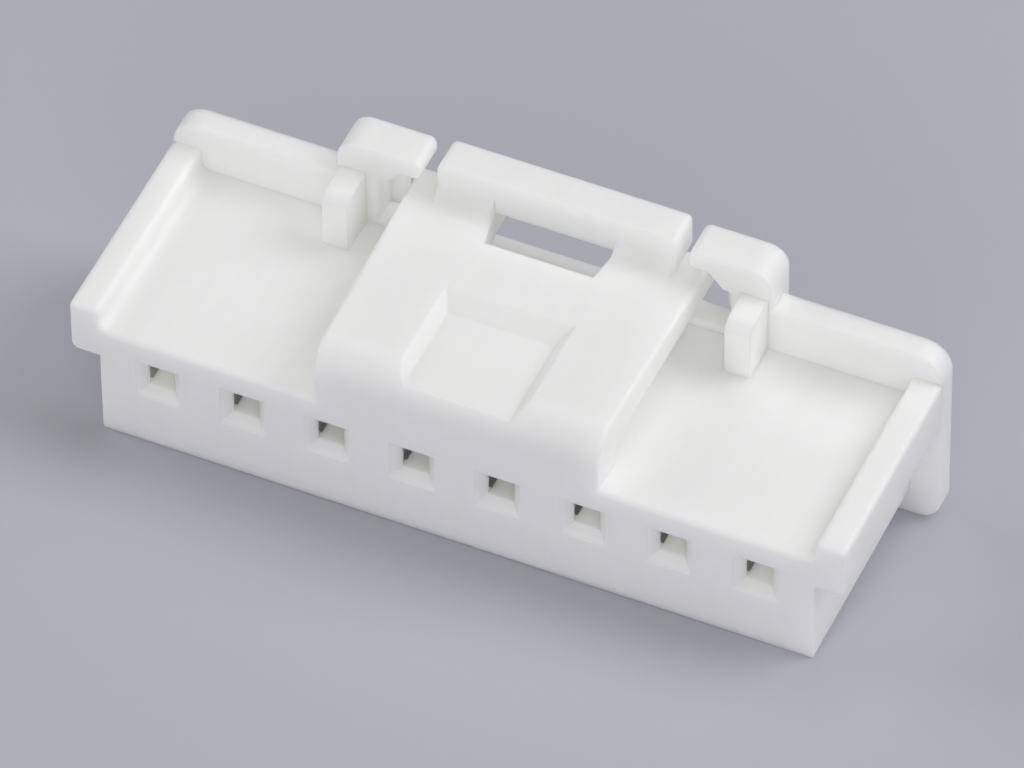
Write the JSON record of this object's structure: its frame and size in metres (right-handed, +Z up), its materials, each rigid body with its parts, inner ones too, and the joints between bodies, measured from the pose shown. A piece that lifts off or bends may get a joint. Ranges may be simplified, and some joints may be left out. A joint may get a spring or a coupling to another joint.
{
  "type": "wire to board connector housing",
  "caption": "Single-row latching receptacle housing for crimped wire terminals, with side rails, a collar at the wire end, a press-bar latch and two hooked latch guards.",
  "frame": {"origin": "middle of the row of pin axes, on the flat mating face", "axes": "+X along the row of circuits, +Y from the mating face towards the wires, +Z up through the latch"},
  "size_m": [0.0182, 0.0064, 0.006],
  "materials": {
    "natural_nylon": "natural white unfilled nylon, slightly translucent, satin moulded surface"
  },
  "bodies": {
    "root": {"housing": "natural_nylon"}
  },
  "joints": []
}
